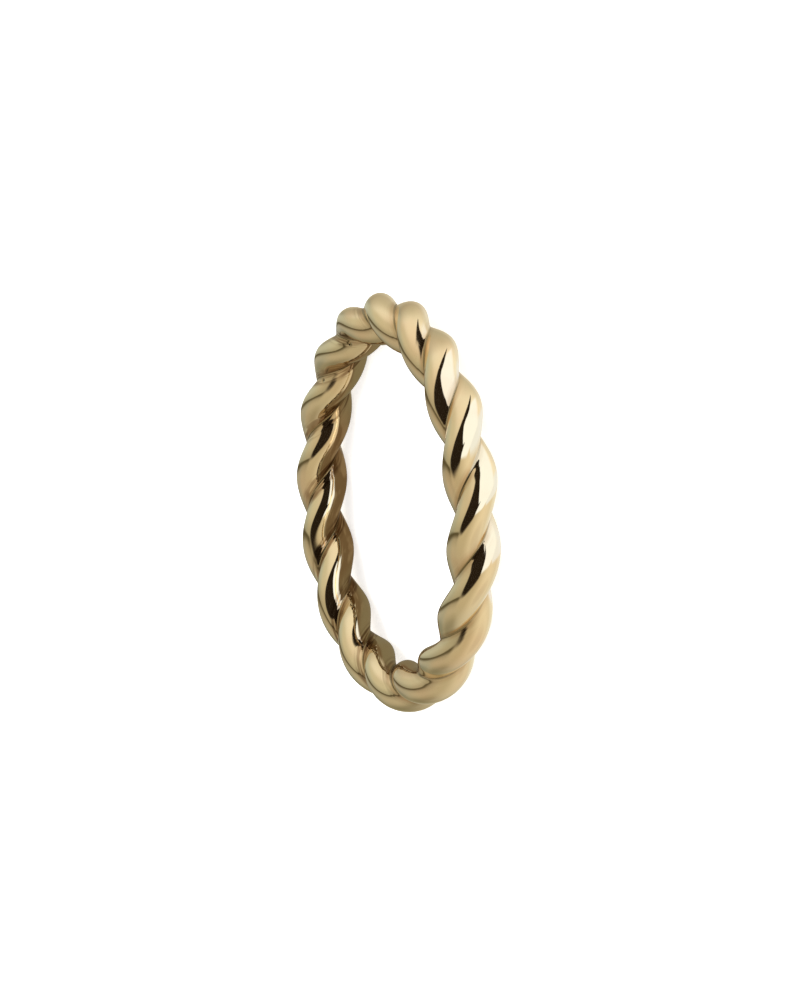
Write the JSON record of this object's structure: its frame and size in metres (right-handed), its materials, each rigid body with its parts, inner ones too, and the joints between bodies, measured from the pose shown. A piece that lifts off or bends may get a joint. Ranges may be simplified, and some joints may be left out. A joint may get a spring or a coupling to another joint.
{
  "type": "rope twist ring",
  "caption": "Plain finger ring of round strands turned about each other like a rope and fused into one polished band, open for the finger.",
  "frame": {"origin": "centre of the ring's box at its underside: the ring's axis meets the surface that it lies on here", "axes": "+Z is the ring's axis, up from the surface that it lies on; +X runs from the axis through an outer crest of the band"},
  "size_m": [0.023, 0.023, 0.0029],
  "materials": {
    "yellow_gold": "polished"
  },
  "bodies": {
    "root": {"twisted_band": "yellow_gold"}
  },
  "joints": []
}
